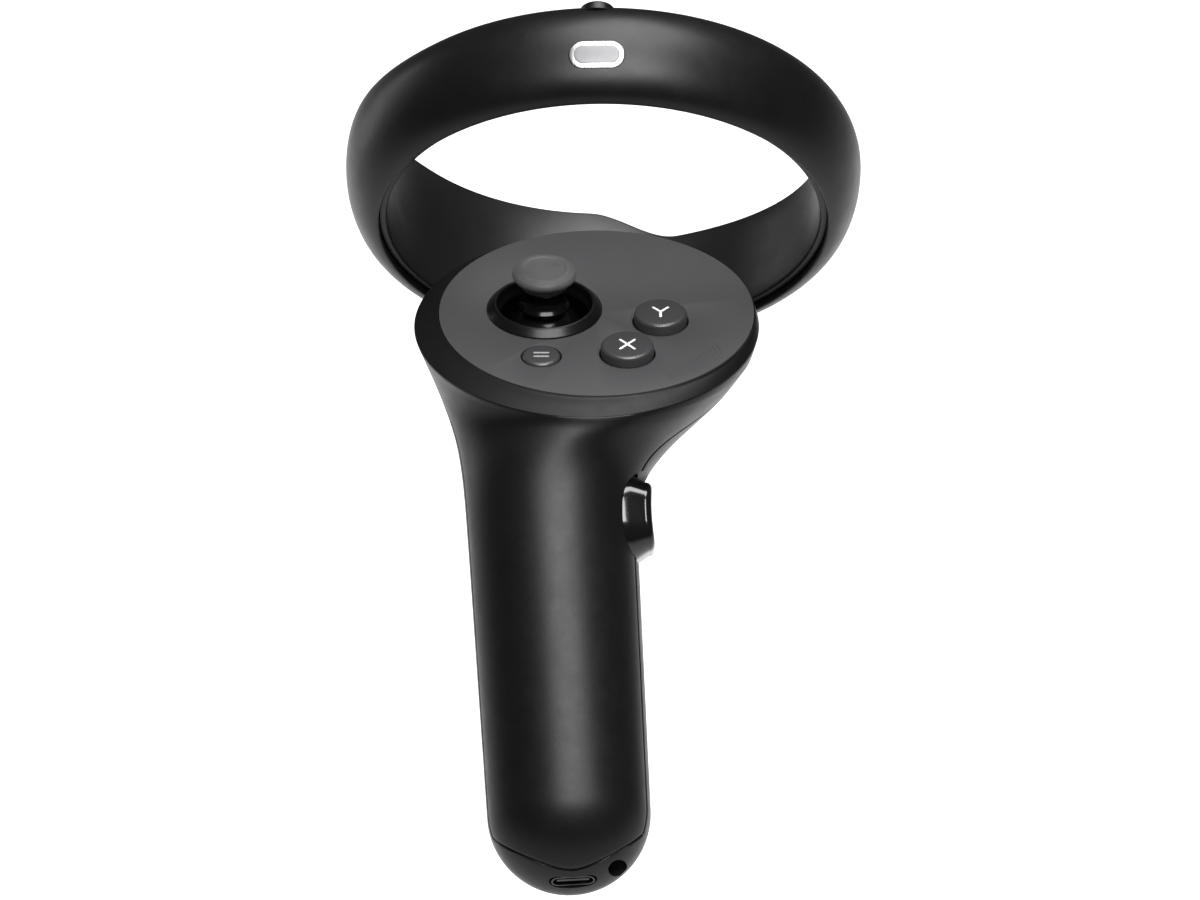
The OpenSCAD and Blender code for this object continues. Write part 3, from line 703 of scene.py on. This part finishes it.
def badge_piece(name, half_length, half_width, middle, top, depth, edge=0.25):
    """A thin plaque that follows the ring: rings of a pill outline, drawn in towards its middle."""
    outline = pill(half_length, half_width)
    n = len(outline)
    levels = [(1.0, -depth), (1.0, top - edge), (1 - 0.3 * edge / half_width, top - edge * 0.3),
              (1 - edge / half_width, top), (0.8, top), (0.6, top), (0.4, top), (0.2, top)]
    verts = [on_crown(x * s, middle + y * s, lift) for s, lift in levels for x, y in outline]
    verts.append(on_crown(0, middle, top))
    faces = [(k * n + j, k * n + (j + 1) % n, (k + 1) * n + (j + 1) % n, (k + 1) * n + j)
             for k in range(len(levels) - 1) for j in range(n)]
    last = (len(levels) - 1) * n
    faces += [(last + j, last + (j + 1) % n, len(verts) - 1) for j in range(n)]
    faces.append(tuple(range(n))[::-1])
    return finish_mesh(name, verts, faces, TO_RING, 50)


def build_ring():
    place(ring_loop("ring_outer_skin", ring_outer_line), "ring_plastic", "body", "ring_outer_shell")
    place(ring_loop("ring_inner_skin", ring_inner_line), "ring_inside", "body", "ring_inner_shell")
    place(badge_piece("badge_plaque", 5.9, 3.0, 8.2, 0.14, 0.5), "badge", "body", "ring_badge")
    place(badge_piece("badge_field", 4.7, 1.9, 8.2, 0.22, 0.2, 0.12), "badge_inlay", "body", slot="badge")
    lug = lathe("ring_lug", disc_profile((3.6, -1.4, 0.1), (3.6, 0.5, 0.7)),
                TO_RING @ Matrix.Translation((0, 48.0, RING_WIDTH - 0.8)), 72)
    place(lug, "ring_plastic", "body", "ring_boss")


# ---------------------------------------------------------------------------
# The plate and everything on it.
# ---------------------------------------------------------------------------
def hole(radius, where):
    return rod("hole", radius, -6, 6, Matrix.Translation(where), 120)


def build_plate():
    plate = lathe("thumb_plate", disc_profile((PLATE_RADIUS, -2, 0), (PLATE_RADIUS, 0, 0)), around=300)
    grooves = []
    for i in range(12):
        a = math.radians(-57 + 2.5 * i)
        turn = (Matrix.Translation((28.5 * math.cos(a), 28.5 * math.sin(a), 0))
                @ Matrix.Rotation(math.radians(76 + 2.8 * i), 4, "Z"))
        grooves.append(prism("groove", stroke((-1.95, 0), (1.95, 0), 0.34), -0.07, 1, turn, 0))
    cut(plate, [hole(11.1, STICK), hole(5.8, X_PLACE), hole(5.8, Y_PLACE), hole(4.25, MENU_PLACE)])
    bevel(plate, 0.16, 3)
    cut(plate, grooves)
    place(plate, "plate_plastic", "body", "face_plate")


def button(name, where, radius, top, body, node):
    piece = lathe(name, disc_profile((radius * 0.55, -6.2, 0), (radius * 0.55, -3.7, 0), (radius + 0.9, -3.7, 0.1),
                                     (radius + 0.9, -2.9, 0.1), (radius, -2.9, 0), (radius, top, 0.85)),
                  Matrix.Translation(where), 120)
    place(piece, "button_plastic", body, node)


def stroke(start, end, width, steps=8):
    """A bar with round ends, as an outline."""
    a, b = np.array(start, float), np.array(end, float)
    along = (b - a) / np.linalg.norm(b - a)
    side = np.array([-along[1], along[0]])
    turn = np.linspace(-math.pi / 2, math.pi / 2, steps)
    one = [b + width / 2 * (along * math.cos(t) + side * math.sin(t)) for t in turn]
    two = [a - width / 2 * (along * math.cos(t) + side * math.sin(t)) for t in turn]
    return [tuple(p) for p in one + two]


def legend(name, where, top, strokes, width, body, node, tone="legend"):
    pieces = [prism(f"{name}_{i}", stroke(a, b, width), -0.1, 0.035 + 0.002 * i,
                    Matrix.Translation(where + Vector((0, 0, top))), 0)
              for i, (a, b) in enumerate(strokes)]
    for piece in pieces:
        place(piece, tone, body, node)


def build_buttons():
    button("x_cap", X_PLACE, 5.45, 2.3, "x_key", "x_button")
    button("y_cap", Y_PLACE, 5.45, 2.3, "y_key", "y_button")
    button("menu_cap", MENU_PLACE, 3.9, 0.45, "menu_key", "menu_button")
    legend("x_mark", X_PLACE, 2.3, [((-1.45, -1.75), (1.45, 1.75)), ((-1.45, 1.75), (1.45, -1.75))], 0.5,
           "x_key", "x_legend")
    legend("y_mark", Y_PLACE, 2.3, [((0, -1.8), (0, 0.1)), ((0, 0.1), (-1.5, 1.75)), ((0, 0.1), (1.5, 1.75))], 0.5,
           "y_key", "y_legend")
    legend("menu_mark", MENU_PLACE, 0.45, [((-1.35, 0.7), (1.35, 0.7)), ((-1.35, -0.7), (1.35, -0.7))], 0.55,
           "menu_key", "menu_legend", "legend_dim")


def build_stick():
    at = Matrix.Translation(STICK)
    cap = lathe("stick_cap_rubber", [(0, 6.4, 0), (2.2, 6.4, 0), (2.2, 5.6, 0.1), (4.6, 5.65, 0.3), (5.3, 6.7, 0.8),
                                     (6.45, 7.9, 0.6), (6.68, 8.5, 0.5), (6.35, 9.25, 0.7), (5.2, 9.85, 0.6),
                                     (4.55, 9.95, 0.2), (4.3, 9.8, 0.2), (2.4, 9.93, 1.5), (0, 9.98, 0)], at, 160)
    place(cap, "stick_rubber", "stick", "stick_cap")
    dome = [(8.8 * math.sin(t), 8.8 * math.cos(t) - PIVOT_DEPTH, 0) for t in np.radians(np.arange(28, 59, 3))]
    under = [(7.9 * math.sin(t), 7.9 * math.cos(t) - PIVOT_DEPTH, 0) for t in np.radians(np.arange(58, 13, -4))]
    neck = lathe("stick_neck", [(0, -9.2, 0), (1.9, -9.2, 0.2), (1.9, -0.4, 0), *reversed(under), *reversed(dome),
                                (4.6, 0.55, 0.2), (5.25, 0.8, 0.25), (5.25, 1.35, 0.3), (4.45, 2.1, 0.8),
                                (4.05, 3.3, 1.0), (4.15, 4.7, 0.8), (4.6, 5.55, 0.2),
                                (2.1, 5.55, 0), (2.1, 6.3, 0), (0, 6.3, 0)], at, 160)
    place(neck, "deep_black", "stick", "stick_stem")
    collar = lathe("stick_collar_ring", [(10.9, -1.6, 0.1), (10.9, 0.03, 0), (11.9, 0.03, 0.05), (11.8, 0.3, 0.25),
                                         (10.62, 1.5, 0.3), (10.3, 1.74, 0.15), (9.95, 1.74, 0.12), (9.75, 1.45, 0.2),
                                         (9.6, 0.2, 0.4), (9.1, -1.0, 0.3), (9.1, -1.6, 0.1)], at, 200)
    place(collar, "collar_black", "body", "stick_collar")


# ---------------------------------------------------------------------------
# The trigger and the grip lever.
# ---------------------------------------------------------------------------
def build_levers():
    outline = [(23, -28.2), (24.4, -27), (26.8, -27), (28.4, -28.6), (29.8, -32.4, 2), (33.4, -34.4, 1.5),
               (34.8, -37, 2), (34.4, -40.5, 3), (33.2, -44.5, 3), (32.7, -48.5, 3), (33.2, -52.5, 3), (34.6, -56, 2),
               (35.4, -58.6, 1.2), (34.6, -60.4, 1), (32.4, -61, 1.4), (28.2, -58.6, 3), (24.6, -54, 3),
               (22.4, -48.5, 3), (21.2, -43, 3), (20.2, -38, 3), (19.8, -34, 2), (21.2, -30.6, 1)]
    trigger = prism("trigger_blade", outline, -TRIGGER_HALF, TRIGGER_HALF, Matrix.Translation((-1, 0, 0)) @ SIDEWAYS, 0.8)
    across = Matrix.Translation((-1, 25.6, -29.4)) @ Matrix.Rotation(math.radians(90), 4, "Y")
    cut(trigger, [rod("pin_hole", 1.05, -20, 20, across), rod("coil_room", 2.9, -3, 3, across),
                  block("coil_top", (-4, 22.7, -29.4), (2, 28.5, -23.4), Matrix.Identity(4), 0)], 35)
    bevel(trigger, 0.9, 4, 50, 45)
    place(trigger, "gloss_black", "trigger_body", "trigger")
    middle = -0.7
    line = lever_outline(0) - [0, middle]
    saddle = lambda z: 20.45 + 0.0115 * (z + 1) ** 2
    draft = 2.0
    levels = [(0.0, 12.4, None), (0.3, None, 4.5), (draft, None, 1.6)]
    levels += [(draft + 1.6 * (1 - math.cos(t)), None, 1.6 * (1 - math.sin(t))) for t in np.linspace(0.2, math.pi / 2, 8)]
    rings = []
    for inset, x, drop in levels:
        pull = line / np.linalg.norm(line, axis=1)[:, None] * inset
        at = line - pull
        rings.append([(x if x is not None else saddle(z + middle) - drop, y, z + middle) for y, z in at])
    for f in (0.85, 0.7, 0.55, 0.4, 0.25, 0.1):
        rings.append([(saddle(z * f + middle), y * f, z * f + middle) for y, z in at])
    n = len(line)
    verts = [v for ring in rings for v in ring]
    faces = [(k * n + j, k * n + (j + 1) % n, (k + 1) * n + (j + 1) % n, (k + 1) * n + j)
             for k in range(len(rings) - 1) for j in range(n)]
    faces += [tuple(range(n)), tuple(range(len(verts) - 1, len(verts) - n - 1, -1))]
    lever = finish_mesh("grip_lever_blade", verts, faces, TO_HANDLE, 40)
    pin = TO_HANDLE @ Matrix.Translation((11, 0, GRIP_Z)) @ Matrix.Rotation(math.radians(90), 4, "X")
    knuckles = []
    for i, side in enumerate((-1, 1)):
        knuckle = lathe(f"grip_lever_knuckle_{i}", [(1.05, 3.05, 0.1), (2.5, 3.05, 0.3), (2.5, 9.2, 0.3), (1.05, 9.2, 0.1)],
                        pin @ Matrix.Rotation(math.radians(90 - 90 * side), 4, "X"), 72)
        knuckles.append(knuckle)
        place(knuckle, "gloss_black", "grip_body", "grip_lever")
    place(lever, "gloss_black", "grip_body", "grip_lever")


build_shells()
build_bezel()
build_ring()
build_plate()
build_buttons()
build_stick()
build_levers()
# the USB socket gets the darkened steel, which paints the shade of its recess
OWN_LOOK = {"usb_socket": "steel_painted_shade", "stick_cup": "deep_black"}
for node, obj in frame["nodes"].items():
    if not obj.hide_render:
        obj.data.materials.clear()
        obj.data.materials.append(MATERIALS[OWN_LOOK.get(node, SLOT_OF[node])])
        smooth(obj.data, 30)


# ---------------------------------------------------------------------------
# Floor, light and camera.
# ---------------------------------------------------------------------------
def build_studio():
    size = 6.0
    low = CAD_BOX[0][2] - 0.16
    mesh = bpy.data.meshes.new("floor")
    mesh.from_pydata([(-size, -size, low), (size, -size, low), (size, size, low), (-size, size, low)], [], [(0, 1, 2, 3)])
    floor = bpy.data.objects.new("floor", mesh)
    bpy.context.scene.collection.objects.link(floor)
    net = Net("floor_white")
    net.set(Base_Color=net.colours(net.noise(3, 3), [(0.3, (0.54, 0.54, 0.54)), (0.7, (0.56, 0.56, 0.56))]), Roughness=0.8)
    mesh.materials.append(net.mat)

    world = bpy.data.worlds.new("studio")
    bpy.context.scene.world = world
    world.use_nodes = True
    world.node_tree.nodes["Background"].inputs["Color"].default_value = (1, 1, 1, 1)
    world.node_tree.nodes["Background"].inputs["Strength"].default_value = 0.07

    target = Vector((0.0, -0.03, -0.015))

    def lamp(name, kind, where, aim, power, width=0.0, height=0.0):
        data = bpy.data.lights.new(name, kind)
        data.energy = power
        if kind == "AREA":
            data.shape, data.size, data.size_y = "RECTANGLE", width, height
        light = bpy.data.objects.new(name, data)
        light.location = target + Vector(where)
        light.rotation_euler = (Vector(aim) - Vector(where)).to_track_quat("-Z", "Y").to_euler()
        bpy.context.scene.collection.objects.link(light)
        return data

    here = (0, 0, 0)
    lamp("key", "AREA", (0.10, -0.42, 0.70), here, 8.8, 0.60, 0.36)
    lamp("top", "AREA", (0.12, 0.14, 0.85), here, 12.5, 0.62, 0.66)
    lamp("left", "AREA", (-0.62, 0.50, -0.02), here, 0.6, 0.16, 0.5)
    # light for the floor that the camera sees beyond the controller
    sheet = lamp("floor_light", "SPOT", (0, 0.42, 1.1), (0, 0.42, 0), 115.0)
    sheet.spot_size, sheet.spot_blend, sheet.shadow_soft_size = math.radians(33), 0.3, 0.05

    camera_data = bpy.data.cameras.new("camera")
    camera_data.sensor_width = 36
    distance, span = 4.0, 1200 / 4.9 * MM
    camera_data.lens = 36 * distance / span
    camera_data.clip_end = 50
    camera = bpy.data.objects.new("camera", camera_data)
    up = math.radians(32)
    aim = Vector((0.0007, -0.0303, -0.0143))
    camera.location = aim + distance * Vector((0, -math.cos(up), math.sin(up)))
    camera.rotation_euler = (math.radians(90) - up, 0, 0)
    bpy.context.scene.collection.objects.link(camera)
    bpy.context.scene.camera = camera
    bpy.context.scene.view_settings.view_transform = "Standard"


build_studio()
